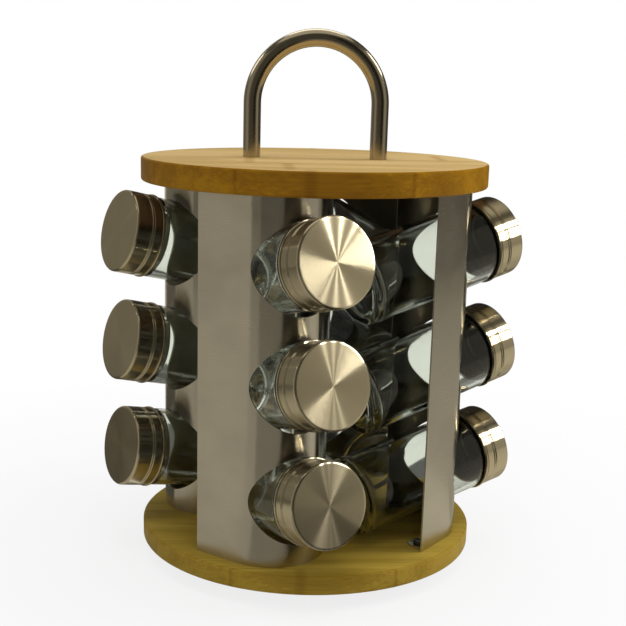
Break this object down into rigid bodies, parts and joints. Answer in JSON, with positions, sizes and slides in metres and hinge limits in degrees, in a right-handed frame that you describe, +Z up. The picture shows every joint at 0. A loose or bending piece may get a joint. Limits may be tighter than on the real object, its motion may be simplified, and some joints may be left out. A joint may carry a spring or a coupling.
{
  "type": "spice carousel",
  "caption": "Turning spice rack: round bamboo boards, bent steel panels with round holes, capped glass jars hung in them, a tube carrying handle and a ball turntable.",
  "frame": {"origin": "on the table, under the middle of the turntable's foot", "axes": "+Z up along the turning axis, -Y out of the front column of jars"},
  "size_m": [0.1899, 0.1855, 0.2784],
  "materials": {
    "bamboo": "oiled, fine strips",
    "panel_steel": "satin, brushed along the sheet",
    "cap_steel": "spun, circular brushing",
    "handle_steel": "polished",
    "glass": "clear",
    "liner_plastic": "matt black",
    "foot_plastic": "matt black",
    "rubber": "matt",
    "plated_steel": "zinc plated",
    "screw_steel": "dark plated",
    "ball_steel": "polished",
    "cage_plastic": "natural"
  },
  "bodies": {
    "foot": {"turntable_foot": "foot_plastic", "rubber_feet": "rubber", "pivot_rivet": "plated_steel"},
    "ball_ring": {"ball_cage": "cage_plastic", "bearing_balls": "ball_steel"},
    "carousel": {"turntable_plate": "plated_steel", "turntable_screws": "screw_steel", "base_board": "bamboo", "panel_front": "panel_steel", "panel_right": "panel_steel", "panel_back": "panel_steel", "panel_left": "panel_steel", "panel_base_screws": "screw_steel", "panel_top_screws": "screw_steel", "top_board": "bamboo", "handle": "handle_steel", "handle_inserts": "plated_steel", "handle_screws": "screw_steel"},
    "jar_front_bottom": {"jar_front_bottom": "glass"},
    "cap_front_bottom": {"cap_front_bottom": "cap_steel", "liner_front_bottom": "liner_plastic"},
    "jar_right_bottom": {"jar_right_bottom": "glass"},
    "cap_right_bottom": {"cap_right_bottom": "cap_steel", "liner_right_bottom": "liner_plastic"},
    "jar_back_bottom": {"jar_back_bottom": "glass"},
    "cap_back_bottom": {"cap_back_bottom": "cap_steel", "liner_back_bottom": "liner_plastic"},
    "jar_left_bottom": {"jar_left_bottom": "glass"},
    "cap_left_bottom": {"cap_left_bottom": "cap_steel", "liner_left_bottom": "liner_plastic"},
    "jar_front_middle": {"jar_front_middle": "glass"},
    "cap_front_middle": {"cap_front_middle": "cap_steel", "liner_front_middle": "liner_plastic"},
    "jar_right_middle": {"jar_right_middle": "glass"},
    "cap_right_middle": {"cap_right_middle": "cap_steel", "liner_right_middle": "liner_plastic"},
    "jar_back_middle": {"jar_back_middle": "glass"},
    "cap_back_middle": {"cap_back_middle": "cap_steel", "liner_back_middle": "liner_plastic"},
    "jar_left_middle": {"jar_left_middle": "glass"},
    "cap_left_middle": {"cap_left_middle": "cap_steel", "liner_left_middle": "liner_plastic"},
    "jar_front_top": {"jar_front_top": "glass"},
    "cap_front_top": {"cap_front_top": "cap_steel", "liner_front_top": "liner_plastic"},
    "jar_right_top": {"jar_right_top": "glass"},
    "cap_right_top": {"cap_right_top": "cap_steel", "liner_right_top": "liner_plastic"},
    "jar_back_top": {"jar_back_top": "glass"},
    "cap_back_top": {"cap_back_top": "cap_steel", "liner_back_top": "liner_plastic"},
    "jar_left_top": {"jar_left_top": "glass"},
    "cap_left_top": {"cap_left_top": "cap_steel", "liner_left_top": "liner_plastic"}
  },
  "joints": [
    {"name": "carousel_spin", "type": "hinge", "parent": "foot", "child": "carousel", "pos_m": [0, 0, 0.005], "axis": [0, 0, 1], "continuous": true},
    {"name": "ball_orbit", "type": "hinge", "parent": "foot", "child": "ball_ring", "pos_m": [0, 0, 0.005], "axis": [0, 0, 1], "continuous": true},
    {"name": "jar_slide_front_bottom", "type": "slide", "parent": "carousel", "child": "jar_front_bottom", "axis": [0, -0.9833, 0.1822], "range_m": [0, 0.08]},
    {"name": "cap_off_front_bottom", "type": "slide", "parent": "jar_front_bottom", "child": "cap_front_bottom", "axis": [0, -0.9833, 0.1822], "range_m": [0, 0.03]},
    {"name": "jar_slide_right_bottom", "type": "slide", "parent": "carousel", "child": "jar_right_bottom", "axis": [0.9833, 0, 0.1822], "range_m": [0, 0.08]},
    {"name": "cap_off_right_bottom", "type": "slide", "parent": "jar_right_bottom", "child": "cap_right_bottom", "axis": [0.9833, 0, 0.1822], "range_m": [0, 0.03]},
    {"name": "jar_slide_back_bottom", "type": "slide", "parent": "carousel", "child": "jar_back_bottom", "axis": [0, 0.9833, 0.1822], "range_m": [0, 0.08]},
    {"name": "cap_off_back_bottom", "type": "slide", "parent": "jar_back_bottom", "child": "cap_back_bottom", "axis": [0, 0.9833, 0.1822], "range_m": [0, 0.03]},
    {"name": "jar_slide_left_bottom", "type": "slide", "parent": "carousel", "child": "jar_left_bottom", "axis": [-0.9833, 0, 0.1822], "range_m": [0, 0.08]},
    {"name": "cap_off_left_bottom", "type": "slide", "parent": "jar_left_bottom", "child": "cap_left_bottom", "axis": [-0.9833, 0, 0.1822], "range_m": [0, 0.03]},
    {"name": "jar_slide_front_middle", "type": "slide", "parent": "carousel", "child": "jar_front_middle", "axis": [0, -0.9744, 0.225], "range_m": [0, 0.08]},
    {"name": "cap_off_front_middle", "type": "slide", "parent": "jar_front_middle", "child": "cap_front_middle", "axis": [0, -0.9744, 0.225], "range_m": [0, 0.03]},
    {"name": "jar_slide_right_middle", "type": "slide", "parent": "carousel", "child": "jar_right_middle", "axis": [0.9744, 0, 0.225], "range_m": [0, 0.08]},
    {"name": "cap_off_right_middle", "type": "slide", "parent": "jar_right_middle", "child": "cap_right_middle", "axis": [0.9744, 0, 0.225], "range_m": [0, 0.03]},
    {"name": "jar_slide_back_middle", "type": "slide", "parent": "carousel", "child": "jar_back_middle", "axis": [0, 0.9744, 0.225], "range_m": [0, 0.08]},
    {"name": "cap_off_back_middle", "type": "slide", "parent": "jar_back_middle", "child": "cap_back_middle", "axis": [0, 0.9744, 0.225], "range_m": [0, 0.03]},
    {"name": "jar_slide_left_middle", "type": "slide", "parent": "carousel", "child": "jar_left_middle", "axis": [-0.9744, 0, 0.225], "range_m": [0, 0.08]},
    {"name": "cap_off_left_middle", "type": "slide", "parent": "jar_left_middle", "child": "cap_left_middle", "axis": [-0.9744, 0, 0.225], "range_m": [0, 0.03]},
    {"name": "jar_slide_front_top", "type": "slide", "parent": "carousel", "child": "jar_front_top", "axis": [0, -0.9744, 0.225], "range_m": [0, 0.08]},
    {"name": "cap_off_front_top", "type": "slide", "parent": "jar_front_top", "child": "cap_front_top", "axis": [0, -0.9744, 0.225], "range_m": [0, 0.03]},
    {"name": "jar_slide_right_top", "type": "slide", "parent": "carousel", "child": "jar_right_top", "axis": [0.9744, 0, 0.225], "range_m": [0, 0.08]},
    {"name": "cap_off_right_top", "type": "slide", "parent": "jar_right_top", "child": "cap_right_top", "axis": [0.9744, 0, 0.225], "range_m": [0, 0.03]},
    {"name": "jar_slide_back_top", "type": "slide", "parent": "carousel", "child": "jar_back_top", "axis": [0, 0.9744, 0.225], "range_m": [0, 0.08]},
    {"name": "cap_off_back_top", "type": "slide", "parent": "jar_back_top", "child": "cap_back_top", "axis": [0, 0.9744, 0.225], "range_m": [0, 0.03]},
    {"name": "jar_slide_left_top", "type": "slide", "parent": "carousel", "child": "jar_left_top", "axis": [-0.9744, 0, 0.225], "range_m": [0, 0.08]},
    {"name": "cap_off_left_top", "type": "slide", "parent": "jar_left_top", "child": "cap_left_top", "axis": [-0.9744, 0, 0.225], "range_m": [0, 0.03]}
  ],
  "couplings": [
    {"joint": "ball_orbit", "follows": "carousel_spin", "ratio": 0.5}
  ]
}
